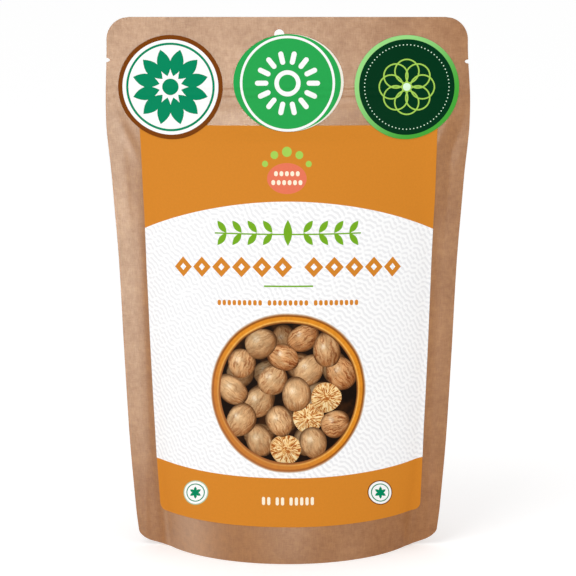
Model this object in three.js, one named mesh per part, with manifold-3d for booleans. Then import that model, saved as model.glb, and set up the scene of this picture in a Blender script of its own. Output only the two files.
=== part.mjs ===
// A shut brown-paper stand-up pouch with a zip, a front label and three round stickers.
// Millimetres, +Z up, +X to the right. The labelled front faces -Y.
// The origin is on the floor, under the middle of the pouch.
import * as THREE from "three";
import { mergeVertices } from "three/addons/utils/BufferGeometryUtils.js";
import Module from "manifold-3d";

const wasm = await Module();
wasm.setup();

// Pouch
const pouchHeight = 264.3;
const filmWidth = 178; // each panel laid flat, from edge to edge
const wallThickness = 0.8; // the two films where they are pressed together
const sealWidth = 8; // side seals
const sealWidthAtFloor = 9.7;
const sealFlareHeight = 45; // the side seals widen below this height
const sealBend = 10; // film length over which a panel turns away from its seal
const topCornerRadius = 11;
const lowerCornerRadius = 4;
// Half the pouch's depth on its centre line, as [height, half depth].
const depthStations = [
  [0, 37.4],
  [30, 35],
  [60, 32.2],
  [100, 28.7],
  [140, 25.1],
  [170, 20.2],
  [190, 15.5],
  [203, 10.5],
  [212, 4.5],
  [224, 0],
];

// Zip, pressed into both panels as two ridges
const ridgeHeights = [230.2, 226.4];
const ridgeReach = 0.7; // how far a ridge stands out
const ridgeHalfWidth = 1.6;
const ridgeFade = 6; // film length over which a ridge sinks into the side seal
const crushedRidge = 0.3; // share of a ridge left inside the side seal

// Openings cut through the header
const hangHole = { across: -4.2, height: 255.8, radius: 2.45 };
const tearNotch = { leftHeight: 243.3, rightHeight: 242.6, depth: 1.7, halfHeight: 1 };

// Underside: the folded gusset, sagging to the floor in the middle
const rimWall = 1.6; // standing edge of the front and back panels
const hollowHalfLength = 64;
const bellySag = 2; // how far the gusset would sag below the floor
const hollowAtWall = 5;
const hollowAtCornerWall = 9;
const hollowAtCornerFold = 14;
const bellyHalfLength = 20; // the hollow starts to rise beyond this

// Label and stickers, laid out as film length across and height
const skinGap = 0.3;
const skinThickness = 0.4;
const label = { halfWidth: 75, bottom: 18.3, top: 211.7, cornerRadius: 3.3 };
const stickerRamp = 3; // height over which a sticker steps down from the label's top edge
const stickers = [
  { name: "sticker_left", across: -57.3, height: 230.1, size: [51, 50.8], colour: 0xf2efe8 },
  { name: "sticker_centre", across: 0.3, height: 232.1, size: [53.8, 47.8], colour: 0x28a550 },
  { name: "sticker_right", across: 58, height: 230.1, size: [51, 50.8], colour: 0x0a3a24 },
];

// Finishes
const paperColour = 0xc8a388;
const labelColour = 0xf6f4f0;
const paperRoughness = 0.75;
const labelRoughness = 0.45;

const halfFilm = filmWidth / 2;

function lerp(from, to, share) {
  return from + (to - from) * share;
}

// A smooth curve through [x, y] points that never overshoots them (monotone cubic).
function smoothCurve(points) {
  const last = points.length - 1;
  const slopes = [];
  for (let i = 0; i < last; i++) {
    slopes.push((points[i + 1][1] - points[i][1]) / (points[i + 1][0] - points[i][0]));
  }
  const tangents = points.map((point, i) => {
    if (i === 0) return slopes[0];
    if (i === last || slopes[i - 1] * slopes[i] <= 0) return 0;
    return (2 * slopes[i - 1] * slopes[i]) / (slopes[i - 1] + slopes[i]);
  });
  return (x) => {
    if (x <= points[0][0]) return points[0][1];
    if (x >= points[last][0]) return points[last][1];
    const i = points.findIndex((point, k) => x <= points[k + 1][0]);
    const width = points[i + 1][0] - points[i][0];
    const t = (x - points[i][0]) / width;
    const rest = 1 - t;
    return (
      points[i][1] * (1 + 2 * t) * rest * rest +
      points[i + 1][1] * (3 - 2 * t) * t * t +
      (tangents[i] * rest - tangents[i + 1] * t) * width * t * rest
    );
  };
}

const halfDepthAt = smoothCurve(depthStations);

function sealWidthAt(height) {
  return lerp(sealWidthAtFloor, sealWidth, THREE.MathUtils.smoothstep(height, 0, sealFlareHeight));
}

// A level cut through one panel. The film keeps its length, so it runs flat along the seal,
// turns away from it, and straightens towards the centre line, where it reaches the half depth.
const filmSteps = 356;
const filmStep = halfFilm / filmSteps;
const cuts = new Map();

function cutAt(height) {
  if (cuts.has(height)) return cuts.get(height);
  const seal = sealWidthAt(height);
  const goal = halfDepthAt(height);
  const turn = (k) => {
    const beyond = (k + 0.5) * filmStep - seal;
    const straighten = Math.min(1, 1 - beyond / (halfFilm - seal));
    return THREE.MathUtils.smoothstep(beyond, 0, sealBend) * straighten;
  };
  const depthFor = (steepest) => {
    let depth = 0;
    for (let k = 0; k < filmSteps; k++) depth += Math.sin(steepest * turn(k)) * filmStep;
    return depth;
  };
  let low = 0;
  let high = Math.PI / 2;
  for (let i = 0; i < 40; i++) {
    const middle = (low + high) / 2;
    if (depthFor(middle) < goal) low = middle;
    else high = middle;
  }
  const steepest = goal > 0 ? low : 0;
  const inwards = [0];
  const depths = [0];
  for (let k = 0; k < filmSteps; k++) {
    inwards.push(inwards[k] + Math.cos(steepest * turn(k)) * filmStep);
    depths.push(depths[k] + Math.sin(steepest * turn(k)) * filmStep);
  }
  const cut = { inwards, depths, halfWidth: inwards[filmSteps] };
  cuts.set(height, cut);
  return cut;
}

// How far the zip's ridges stand out of the panel.
function ridgeAt(across, height) {
  const fromSeal = halfFilm - Math.abs(across) - sealWidthAt(height);
  const share = lerp(crushedRidge, 1, THREE.MathUtils.smoothstep(fromSeal, 0, ridgeFade));
  let reach = 0;
  for (const ridge of ridgeHeights) {
    const away = Math.min(1, Math.abs(height - ridge) / ridgeHalfWidth);
    reach += ridgeReach * (1 + Math.cos(Math.PI * away)) * 0.5;
  }
  return reach * share;
}

// The outside of a panel. across is film length from the centre line; facing is -1 in front.
function panelPoint(across, height, facing) {
  const cut = cutAt(height);
  const place = THREE.MathUtils.clamp((halfFilm - Math.abs(across)) / filmStep, 0, filmSteps);
  const k = Math.min(Math.floor(place), filmSteps - 1);
  const inward = lerp(cut.inwards[k], cut.inwards[k + 1], place - k);
  const depth = lerp(cut.depths[k], cut.depths[k + 1], place - k);
  const outward = depth + wallThickness / 2 + ridgeAt(across, height);
  return new THREE.Vector3(Math.sign(across) * (cut.halfWidth - inward), facing * outward, height);
}

// A point held off the front panel, square to it.
function heldOff(across, height, distance) {
  const reach = 0.5;
  const east = panelPoint(across + reach, height, -1).sub(panelPoint(across - reach, height, -1));
  const north = panelPoint(across, height + reach, -1).sub(panelPoint(across, height - reach, -1));
  const normal = east.cross(north).normalize();
  return panelPoint(across, height, -1).addScaledVector(normal, distance);
}

// A closed sheet from two grids of points with the same rows and columns.
// Seen from outside the outer grid, columns run to the right and rows run up.
function closedSheet(outer, inner) {
  const rows = outer.length;
  const columns = outer[0].length;
  const vertices = [...outer.flat(), ...inner.flat()];
  const outerAt = (i, j) => i * columns + j;
  const innerAt = (i, j) => rows * columns + i * columns + j;
  const faces = [];
  const quad = (a, b, c, d) => faces.push(a, b, c, a, c, d);
  for (let i = 0; i + 1 < rows; i++) {
    for (let j = 0; j + 1 < columns; j++) {
      quad(outerAt(i, j), outerAt(i, j + 1), outerAt(i + 1, j + 1), outerAt(i + 1, j));
      quad(innerAt(i, j), innerAt(i + 1, j), innerAt(i + 1, j + 1), innerAt(i, j + 1));
    }
  }
  const right = columns - 1;
  for (let i = 0; i + 1 < rows; i++) {
    quad(outerAt(i, right), innerAt(i, right), innerAt(i + 1, right), outerAt(i + 1, right));
    quad(outerAt(i, 0), outerAt(i + 1, 0), innerAt(i + 1, 0), innerAt(i, 0));
  }
  const top = rows - 1;
  for (let j = 0; j + 1 < columns; j++) {
    quad(outerAt(0, j), innerAt(0, j), innerAt(0, j + 1), outerAt(0, j + 1));
    quad(outerAt(top, j), outerAt(top, j + 1), innerAt(top, j + 1), innerAt(top, j));
  }
  return new THREE.BufferGeometry().setFromPoints(vertices).setIndex(faces);
}

function asSolid(geometry) {
  const bare = geometry.clone();
  bare.deleteAttribute("normal");
  bare.deleteAttribute("uv");
  const merged = mergeVertices(bare);
  return new wasm.Manifold(
    new wasm.Mesh({
      numProp: 3,
      vertProperties: new Float32Array(merged.attributes.position.array),
      triVerts: new Uint32Array(merged.index.array),
    }),
  );
}

function cutAway(geometry, cutters) {
  const solid = cutters.reduce((left, cutter) => left.subtract(asSolid(cutter)), asSolid(geometry));
  const mesh = solid.getMesh();
  return new THREE.BufferGeometry()
    .setAttribute("position", new THREE.BufferAttribute(mesh.vertProperties, 3))
    .setIndex(new THREE.BufferAttribute(mesh.triVerts, 1));
}

// Evenly spaced values from one number up to, but not including, another.
function steps(from, to, count) {
  return Array.from({ length: count }, (unused, i) => lerp(from, to, i / count));
}

const flatHeaderStart = 234;
const zipRows = [...ridgeHeights]
  .reverse()
  .flatMap((ridge) => [ridge - ridgeHalfWidth, ridge - 0.6, ridge + 0.6, ridge + ridgeHalfWidth]);
const bodyRows = [
  ...steps(0, label.bottom, 2),
  ...steps(label.bottom, 190, 16),
  ...steps(190, label.top, 6),
  ...steps(label.top, zipRows[0], 4),
];
const pouchRows = [...bodyRows, ...zipRows, flatHeaderStart, pouchHeight];

const halfColumns = [
  ...steps(0, 64, 6),
  ...steps(64, label.halfWidth, 3),
  label.halfWidth,
  78,
  halfFilm - sealWidth,
  halfFilm,
];
const pouchColumns = [...halfColumns.slice(1).reverse().map((across) => -across), ...halfColumns];
const labelColumns = pouchColumns.filter((across) => Math.abs(across) <= label.halfWidth);

// A cutter that rounds off a corner of the flat pouch outline. The corner's own sides point
// right or left (side) and up or down (end) from the arc's centre.
function cornerCutter(edge, end, radius, side, up) {
  const overhang = 2;
  const arcSteps = 7;
  const centre = [side * (edge - radius), end - up * radius];
  const outline = [[centre[0], end + up * overhang]];
  for (let i = 0; i <= arcSteps; i++) {
    const angle = (Math.PI / 2) * (i / arcSteps);
    outline.push([centre[0] + side * radius * Math.sin(angle), centre[1] + up * radius * Math.cos(angle)]);
  }
  outline.push([side * (edge + overhang), centre[1]]);
  outline.push([side * (edge + overhang), end + up * overhang]);
  return throughPouch(new THREE.Shape(outline.map(([x, y]) => new THREE.Vector2(x, y))));
}

// A prism that runs through the pouch from front to back, from an outline in X and Z.
function throughPouch(shape) {
  const reach = 20;
  const options = { depth: 2 * reach, bevelEnabled: false, curveSegments: 10 };
  return new THREE.ExtrudeGeometry(shape, options).rotateX(Math.PI / 2).translate(0, reach, 0);
}

function hangHoleCutter() {
  const circle = new THREE.Shape();
  circle.absarc(hangHole.across, hangHole.height, hangHole.radius, 0, 2 * Math.PI);
  return throughPouch(circle);
}

function tearNotchCutter(side, height) {
  const oval = new THREE.Shape();
  oval.absellipse(side * halfFilm, height, tearNotch.depth, tearNotch.halfHeight, 0, 2 * Math.PI);
  return throughPouch(oval);
}

// The hollow under the gusset: flat on the floor in the middle, a low channel inside the
// standing edges, and a fold that rises towards each side.
function undersideCutter() {
  const lengthSteps = 24;
  const widthSteps = 10;
  const below = -4;
  const floorCut = cutAt(0);
  const upperCut = cutAt(hollowAtCornerFold);
  const depthOf = (cut, x) => {
    const k = cut.inwards.findIndex((inward) => inward >= cut.halfWidth - Math.abs(x));
    return cut.depths[k < 0 ? filmSteps : k];
  };
  const roof = [];
  const base = [];
  for (let i = 0; i <= widthSteps; i++) {
    const share = (2 * i) / widthSteps - 1;
    roof.push([]);
    base.push([]);
    for (let j = 0; j <= lengthSteps; j++) {
      const x = lerp(-hollowHalfLength, hollowHalfLength, j / lengthSteps);
      const wall = Math.min(depthOf(floorCut, x), depthOf(upperCut, x)) + wallThickness / 2 - rimWall;
      const rise = THREE.MathUtils.smoothstep(Math.abs(x), bellyHalfLength, hollowHalfLength);
      const atFold = lerp(-bellySag, hollowAtCornerFold, rise);
      const atWall = lerp(hollowAtWall, hollowAtCornerWall, rise);
      const height = lerp(atFold, atWall, Math.abs(share) ** (2 - rise));
      roof[i].push(new THREE.Vector3(x, share * wall, height));
      base[i].push(new THREE.Vector3(x, share * wall, below));
    }
  }
  return closedSheet(roof, base);
}

function pouchGeometry() {
  const panel = (facing) =>
    pouchRows.map((height) => pouchColumns.map((across) => panelPoint(across, height, facing)));
  const floorHalfWidth = cutAt(0).halfWidth;
  return cutAway(closedSheet(panel(-1), panel(1)), [
    cornerCutter(halfFilm, pouchHeight, topCornerRadius, -1, 1),
    cornerCutter(halfFilm, pouchHeight, topCornerRadius, 1, 1),
    cornerCutter(floorHalfWidth, 0, lowerCornerRadius, -1, -1),
    cornerCutter(floorHalfWidth, 0, lowerCornerRadius, 1, -1),
    hangHoleCutter(),
    tearNotchCutter(-1, tearNotch.leftHeight),
    tearNotchCutter(1, tearNotch.rightHeight),
    undersideCutter(),
  ]);
}

// A thin skin over the front panel. widthAt gives each row's columns, liftAt its height off it.
function skinGeometry(rows, columnsAt, liftAt) {
  const face = (extra) =>
    rows.map((height) => columnsAt(height).map((across) => heldOff(across, height, liftAt(height) + extra)));
  return closedSheet(face(skinThickness), face(0));
}

function labelGeometry() {
  const radius = label.cornerRadius;
  const shareAt = (height) => {
    const inCorner = Math.max(0, radius - (height - label.bottom));
    return (label.halfWidth - radius + Math.sqrt(radius ** 2 - inCorner ** 2)) / label.halfWidth;
  };
  const cornerRows = [0, 0.1, 0.35, 0.65, 1].map((share) => label.bottom + share * radius);
  const upperRows = pouchRows.filter((height) => height > label.bottom + radius && height < label.top);
  const columnsAt = (height) => labelColumns.map((across) => across * shareAt(height));
  return skinGeometry([...cornerRows, ...upperRows, label.top], columnsAt, () => skinGap);
}

// A sticker: rows close together at its rounded top and bottom, and the pouch's rows between.
function stickerGeometry({ across, height, size }) {
  const acrossSteps = 8;
  const [halfWidth, halfHeight] = size.map((extent) => extent / 2);
  const rimAngles = [87, 74, 60, 45].map(THREE.MathUtils.degToRad);
  const rimRises = rimAngles.map((angle) => halfHeight * Math.sin(angle));
  const steepRise = rimRises.at(-1);
  const rimRows = rimRises.flatMap((rise) => [height - rise, height + rise]);
  const innerRows = pouchRows.filter((row) => Math.abs(row - height) < steepRise - 1);
  const upperRows = steps(flatHeaderStart, height + steepRise, 3).slice(1);
  const rows = [...rimRows, ...innerRows, ...upperRows].sort((a, b) => a - b);
  const columnsAt = (row) => {
    const chord = 2 * halfWidth * Math.sqrt(1 - ((row - height) / halfHeight) ** 2);
    return [...steps(across - chord / 2, across + chord / 2, acrossSteps), across + chord / 2];
  };
  const liftAt = (row) => {
    const offLabel = THREE.MathUtils.smoothstep(row, label.top, label.top + stickerRamp);
    return skinGap + (skinGap + skinThickness) * (1 - offLabel);
  };
  return skinGeometry(rows, columnsAt, liftAt);
}

function piece(name, geometry, colour, roughness) {
  const finish = new THREE.MeshStandardMaterial({ color: colour, roughness, metalness: 0 });
  const mesh = new THREE.Mesh(geometry, finish);
  mesh.name = name;
  return mesh;
}

const pack = new THREE.Group();
pack.add(piece("pouch", pouchGeometry(), paperColour, paperRoughness));
pack.add(piece("label", labelGeometry(), labelColour, labelRoughness));
for (const sticker of stickers) {
  pack.add(piece(sticker.name, stickerGeometry(sticker), sticker.colour, labelRoughness));
}

export default pack;
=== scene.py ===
import math

import bmesh
import bpy
import numpy as np
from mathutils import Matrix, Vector
from mathutils.geometry import delaunay_2d_cdt


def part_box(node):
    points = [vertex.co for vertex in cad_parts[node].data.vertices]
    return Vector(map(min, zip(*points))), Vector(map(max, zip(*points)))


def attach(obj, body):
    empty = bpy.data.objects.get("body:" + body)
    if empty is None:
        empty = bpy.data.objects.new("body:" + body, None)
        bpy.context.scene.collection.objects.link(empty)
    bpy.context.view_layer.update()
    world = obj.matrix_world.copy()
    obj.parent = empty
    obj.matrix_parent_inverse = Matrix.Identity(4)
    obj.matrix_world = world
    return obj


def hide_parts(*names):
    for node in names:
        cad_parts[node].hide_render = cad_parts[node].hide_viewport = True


# A shut brown-paper pouch of nutmegs, dressed over its CAD frame.
# Shapes are worked out in millimetres as (across, height) on the flat film, then bent onto the pouch.

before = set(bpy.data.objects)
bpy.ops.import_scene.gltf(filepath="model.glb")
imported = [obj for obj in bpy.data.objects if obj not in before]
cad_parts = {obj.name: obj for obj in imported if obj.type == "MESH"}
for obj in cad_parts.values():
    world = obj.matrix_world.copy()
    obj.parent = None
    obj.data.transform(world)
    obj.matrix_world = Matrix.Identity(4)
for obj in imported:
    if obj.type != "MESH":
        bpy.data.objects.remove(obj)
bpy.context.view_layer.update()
mm = 0.001


def boxInMm(node):
    low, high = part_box(node)
    return np.array(low) / mm, np.array(high) / mm


def smooth(share):
    share = np.clip(share, 0, 1)
    return share * share * (3 - 2 * share)


# Goes smoothly from 0 at the first value to 1 at the last one.
def between(value, first, last):
    return smooth((value - first) / (last - first))


print("frame loaded")


# ---------- film shape

pouchLow, pouchHigh = boxInMm("pouch")
pouch = {
    "height": pouchHigh[2],
    "halfFilm": pouchHigh[0],  # the flat header is as wide as the film
    "halfWall": 0.2,
    "sealWidth": 8.0,
    "sealWidthAtFloor": 9.7,
    "sealFlare": 45.0,
    "sealBend": 10.0,  # the film turns away from the seal over this width
    "shoulderBend": 24.0,  # and over this one higher up, where part of the turn comes early
    "earlyTurn": 0.3,
    "earlyTurnSpan": (-3, 2),
    "shoulder": (150.0, 190.0),
    "depthStations": [0, 30, 60, 100, 140, 170, 190, 203, 212, 224],
    "halfDepths": [37.5, 35.1, 32.3, 28.8, 25.2, 20.3, 15.6, 10.6, 4.6, 0],
    "topCorner": 11.0,
    "lowerCorner": 5.0,
    # the cut edge pulls in towards the top, below the shoulder and near the floor, over these heights
    "topTaper": {-1: 0.7, 1: 1.4},
    "topTaperSpan": (222, 252),
    "bodyTaper": 0.4,
    "bodyTaperSpan": (205, 185),
    "floorTaper": 0.4,
    "floorTaperSpan": (60, 10),
    "footTaper": 0.6,
    "footTaperSpan": (18, 0),
    "wingLift": {-1: 3.4, 1: 4.2},  # the lower corners are cut clear of the floor
    "wingSpan": (73, 86),
    "wingCurve": 1.2,
    "wingFade": 30,  # the lift is gone at this height
    "notchHeights": {-1: 243.3, 1: 242.6},
    "notchDepth": 1.7,
    "notchHalfHeight": 1.0,
    "ridges": [230.2, 226.4],
    "ridgeReach": 0.3,
    "ridgeHalfWidth": 1.6,
    "hole": (-4.2, 255.8),
    "holeRadius": 2.45,
    # spacing of the mesh, finer near the floor, the ridges and the notches
    "rowMarks": [0, 5, 190, 235, 241, 245],
    "rowCells": [0.4, 1.25, 0.8, 1.25, 0.2, 1.25, 0.6, 0.5],
    "wideCell": 1.75,
    "holeBlock": 4,  # cells from the hole's middle to its edge
    "islandStep": 400,  # the back and the underside have their own parts of the film's coordinates
    "cellRound": 3.0,  # stretch of finer cells round the hole
    "steady": 66.0,  # the cut edges only pull in the film beyond this
    "sharpAngle": 40,
}


# A smooth curve through stations that never overshoots them.
def smoothCurve(xs, ys):
    xs = np.array(xs, float)
    ys = np.array(ys, float)
    slopes = np.diff(ys) / np.diff(xs)
    tangents = np.zeros(len(xs))
    tangents[0] = slopes[0]
    for i in range(1, len(xs) - 1):
        if slopes[i - 1] * slopes[i] > 0:
            tangents[i] = 2 * slopes[i - 1] * slopes[i] / (slopes[i - 1] + slopes[i])

    def curve(x):
        k = np.clip(np.searchsorted(xs, x) - 1, 0, len(xs) - 2)
        width = xs[k + 1] - xs[k]
        t = np.clip((x - xs[k]) / width, 0, 1)
        rest = 1 - t
        value = ys[k] * (1 + 2 * t) * rest**2 + ys[k + 1] * (3 - 2 * t) * t**2
        value = value + (tangents[k] * rest - tangents[k + 1] * t) * width * t * rest
        return value + np.minimum(x - xs[0], 0) * tangents[0]

    return curve


def sealWidthAt(height):
    share = smooth(height / pouch["sealFlare"])
    return pouch["sealWidthAtFloor"] + (pouch["sealWidth"] - pouch["sealWidthAtFloor"]) * share


# Tables of where the film lies, every half millimetre across and every millimetre up.
# The film keeps its length, so the pouch narrows as it fills out.
acrossStep = 0.5
margin = 3  # spare rows and columns round the tables


def bendFilm():
    half = pouch["halfFilm"]
    heights = np.arange(-margin, math.ceil(pouch["height"]) + margin + 1, dtype=float)
    along = (np.arange(int(round(half / acrossStep))) + 0.5) * half / round(half / acrossStep)
    step = along[1] - along[0]
    seal = sealWidthAt(heights)[:, None]
    beyond = along[None, :] - seal
    low, high = pouch["shoulder"]
    atShoulder = between(heights, low, high)[:, None]
    early = pouch["earlyTurn"] * atShoulder
    bend = pouch["sealBend"] + (pouch["shoulderBend"] - pouch["sealBend"]) * atShoulder
    turn = early * between(beyond, *pouch["earlyTurnSpan"]) + (1 - early) * smooth(beyond / bend)
    turn = turn * np.minimum(1, 1 - beyond / (half - seal))
    goal = smoothCurve(pouch["depthStations"], pouch["halfDepths"])(heights)
    low = np.zeros(len(heights))
    high = np.full(len(heights), math.pi / 2)
    for _ in range(40):
        middle = (low + high) / 2
        short = np.sin(turn * middle[:, None]).sum(1) * step < goal
        low = np.where(short, middle, low)
        high = np.where(short, high, middle)
    slope = turn * (low * (goal > 0))[:, None]
    nothing = np.zeros((len(heights), 1))
    inward = np.hstack([nothing, np.cumsum(np.cos(slope), 1) * step])
    depth = np.hstack([nothing, np.cumsum(np.sin(slope), 1) * step])
    halfWidth = inward[:, -1:]
    spare = np.arange(margin, 0, -1) * step
    left = np.hstack([-halfWidth - spare, inward - halfWidth])
    sideways = np.hstack([left, -left[:, -2::-1]])
    depth = np.hstack([np.zeros((len(heights), margin)), depth])
    depth = np.hstack([depth, depth[:, -2::-1]])
    return step, sideways, depth


filmStep, sidewaysTable, depthTable = bendFilm()


# Reads a table between its entries with a smooth (Catmull-Rom) curve both ways.
def readTable(table, across, height):
    row = np.clip(height + margin, 1, table.shape[0] - 3)
    column = np.clip((across + pouch["halfFilm"]) / filmStep + margin, 1, table.shape[1] - 3)
    i = row.astype(int)
    j = column.astype(int)

    def weights(t):
        return [
            ((2 - t) * t - 1) * t / 2,
            ((3 * t - 5) * t * t + 2) / 2,
            ((4 - 3 * t) * t + 1) * t / 2,
            (t - 1) * t * t / 2,
        ]

    total = 0
    for a, rowWeight in enumerate(weights(row - i)):
        for b, columnWeight in enumerate(weights(column - j)):
            total = total + rowWeight * columnWeight * table[i + a - 1, j + b - 1]
    return total


# Soft dents in the film: where, how long and wide, which way they run, how deep (less than 0 stands out).
dents = [
    {"across": -79.5, "height": 206.0, "length": 11.0, "width": 2.6, "tilt": 112, "depth": 0.5},
    {"across": -79.0, "height": 50.0, "length": 12.0, "width": 3.0, "tilt": 90, "depth": 0.15},
    {"across": -83.4, "height": 18.0, "length": 20.0, "width": 1.6, "tilt": 86, "depth": 0.4},
    {"across": 75.8, "height": 206.0, "length": 11.0, "width": 2.6, "tilt": 73, "depth": -0.6},
    {"across": 83.0, "height": 203.0, "length": 14.0, "width": 2.8, "tilt": 73, "depth": 0.5},
    {"across": 82.6, "height": 18.0, "length": 20.0, "width": 1.6, "tilt": 94, "depth": 0.4},
]


relief = {
    "sealedRidge": 0.3,  # share of a ridge's height that is left on the side seals
    "ridgeFade": 6.0,
    "sealStep": 0.08,  # edge of the side seals
    "sealStepWidth": 1.2,
    "sealStepSpan": (215, 200),
    "waves": 0.16,
    "waveSize": 46,
    "waveSeed": 5,
    "waveTopSpan": (222, 192),
    "waveFloorSpan": (0, 12),
}


# Slow waves over the film, the same on every run.
def filmWaves(across, height, seed, size, count=14):
    draw = np.random.default_rng(seed)
    total = 0
    for _ in range(count):
        angle = draw.uniform(0, 2 * math.pi)
        rate = 2 * math.pi / (size * draw.uniform(0.7, 1.6))
        phase = draw.uniform(0, 2 * math.pi)
        total = total + np.sin((across * math.cos(angle) + height * math.sin(angle)) * rate + phase)
    return total / math.sqrt(count)


def reliefAt(across, height, facing):
    fromSeal = pouch["halfFilm"] - np.abs(across) - sealWidthAt(height)
    inside = smooth(fromSeal / relief["ridgeFade"])
    stand = 0
    for ridge in pouch["ridges"]:
        away = np.minimum(1, np.abs(height - ridge) / pouch["ridgeHalfWidth"])
        kept = relief["sealedRidge"] + (1 - relief["sealedRidge"]) * inside
        stand = stand + pouch["ridgeReach"] * (1 + np.cos(math.pi * away)) / 2 * kept
    step = smooth(fromSeal / relief["sealStepWidth"]) * between(height, *relief["sealStepSpan"])
    filled = between(height, *relief["waveTopSpan"]) * between(height, *relief["waveFloorSpan"]) * inside
    waves = filmWaves(across, height, relief["waveSeed"] + facing, relief["waveSize"])
    return stand + relief["sealStep"] * step + relief["waves"] * filled * waves


def dentAt(across, height):
    push = 0
    for dent in dents:
        tilt = math.radians(dent["tilt"])
        x = across - dent["across"]
        y = height - dent["height"]
        along = (x * math.cos(tilt) + y * math.sin(tilt)) / dent["length"]
        cross = (y * math.cos(tilt) - x * math.sin(tilt)) / dent["width"]
        push = push + dent["depth"] * np.exp(-along**2 - cross**2)
    return push


# Where a point of the film lies. facing is -1 on the front panel and 1 on the back one.
# A dent moves the front panel, and the back one with it where the two are sealed together.
def panelPoint(across, height, facing):
    depth = readTable(depthTable, across, height)
    held = 1 if facing < 0 else np.exp(-np.maximum(depth, 0) / 1.5)
    x = readTable(sidewaysTable, across, height)
    y = facing * (depth + pouch["halfWall"] + reliefAt(across, height, facing))
    return np.stack([x, y + dentAt(across, height) * held, height], -1)


def panelNormal(across, height, facing):
    reach = 0.3
    east = panelPoint(across + reach, height, facing) - panelPoint(across - reach, height, facing)
    north = panelPoint(across, height + reach, facing) - panelPoint(across, height - reach, facing)
    normal = np.cross(east, north) * -facing
    return normal / np.linalg.norm(normal, axis=-1, keepdims=True)


# Makes a mesh object from points in millimetres.
def meshFrom(name, points, faces, uvs=None, slots=None, normals=None):
    mesh = bpy.data.meshes.new(name)
    mesh.from_pydata((points * mm).tolist(), [], faces)
    corners = np.zeros(len(mesh.loops), np.int32)
    mesh.loops.foreach_get("vertex_index", corners)
    for layer, values in (uvs or {}).items():
        uv = mesh.uv_layers.new(name=layer)
        perCorner = values[corners] if len(values) == len(points) else values
        uv.data.foreach_set("uv", perCorner.astype(np.float32).ravel())
    if slots is not None:
        mesh.polygons.foreach_set("material_index", np.array(slots, np.int32))
    mesh.shade_smooth()
    if normals is not None:
        mesh.normals_split_custom_set_from_vertices(normals.tolist())
    made = bpy.data.objects.new(name, mesh)
    bpy.context.scene.collection.objects.link(made)
    return made


# ---------- node helpers

def linear(colour):
    channels = []
    for value in colour:
        share = value / 255
        channels.append(share / 12.92 if share <= 0.04045 else ((share + 0.055) / 1.055) ** 2.4)
    return channels + [1.0]


def newFinish(name, roughness=0.5, specular=0.5):
    material = bpy.data.materials.new(name)
    material.use_nodes = True
    tree = material.node_tree
    shader = tree.nodes["Principled BSDF"]
    shader.inputs["Roughness"].default_value = roughness
    shader.inputs["Specular IOR Level"].default_value = specular
    return material, tree, shader


def place(tree, kind, inputs=None, **settings):
    made = tree.nodes.new(kind)
    for key, value in settings.items():
        setattr(made, key, value)
    for key, value in (inputs or {}).items():
        if isinstance(value, bpy.types.NodeSocket):
            tree.links.new(value, made.inputs[key])
        else:
            made.inputs[key].default_value = value
    return made


def sums(tree, operation, first, second=0.0, third=0.0):
    made = place(tree, "ShaderNodeMath", {0: first, 1: second, 2: third}, operation=operation)
    return made.outputs[0]


def blend(tree, share, first, second, mode="MIX"):
    made = place(tree, "ShaderNodeMix", data_type="RGBA", blend_type=mode)
    for key, value in ((0, share), (6, first), (7, second)):
        if isinstance(value, bpy.types.NodeSocket):
            tree.links.new(value, made.inputs[key])
        else:
            made.inputs[key].default_value = value
    return made.outputs[2]


def ramp(tree, share, stops, smoothly=True):
    made = place(tree, "ShaderNodeValToRGB", {0: share})
    made.color_ramp.interpolation = "EASE" if smoothly else "LINEAR"
    while len(made.color_ramp.elements) < len(stops):
        made.color_ramp.elements.new(0.5)
    for element, (position, colour) in zip(made.color_ramp.elements, stops):
        element.position = position
        element.color = colour if len(colour) == 4 else linear(colour)
    return made.outputs[0]


def paint(tree, shader, colour):
    tree.links.new(colour, shader.inputs["Base Color"])


def grey(value):
    return [value, value, value, 1.0]


# A ramp of greys, given as (position, brightness).
def greys(tree, share, *stops, smoothly=True):
    return ramp(tree, share, [(position, grey(value)) for position, value in stops], smoothly)


def times(tree, colour, other, share=1.0):
    return blend(tree, share, colour, other, "MULTIPLY")


def axes(tree, vector):
    return place(tree, "ShaderNodeSeparateXYZ", {0: vector}).outputs


def fromAxes(tree, x, y, z):
    return place(tree, "ShaderNodeCombineXYZ", {0: x, 1: y, 2: z}).outputs[0]


def vectors(tree, operation, *inputs):
    made = place(tree, "ShaderNodeVectorMath", dict(enumerate(inputs)), operation=operation)
    return made.outputs["Value" if operation in ("LENGTH", "DISTANCE", "DOT_PRODUCT") else "Vector"]


def uvOf(tree, layer):
    return place(tree, "ShaderNodeUVMap", uv_map=layer).outputs[0]


def mapped(tree, vector, scale=(1, 1, 1), turn=0.0, shift=(0, 0, 0)):
    inputs = {"Vector": vector, "Scale": scale, "Rotation": (0, 0, turn), "Location": shift}
    return place(tree, "ShaderNodeMapping", inputs).outputs[0]


def noise(tree, vector, scale, detail=3.0, roughness=0.55, distortion=0.0):
    inputs = {"Vector": vector, "Scale": scale, "Detail": detail}
    inputs.update({"Roughness": roughness, "Distortion": distortion})
    return place(tree, "ShaderNodeTexNoise", inputs).outputs[0]


def bump(tree, shader, height, strength, distance):
    made = place(tree, "ShaderNodeBump", {"Height": height, "Strength": strength, "Distance": distance})
    tree.links.new(made.outputs[0], shader.inputs["Normal"])


# ---------- pouch

paper = {
    "light": (168, 115, 68),
    "dark": (139, 88, 46),
    "fibre": (118, 72, 36),
    "roughness": 0.467,
    "specular": 0.22,
}


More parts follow.
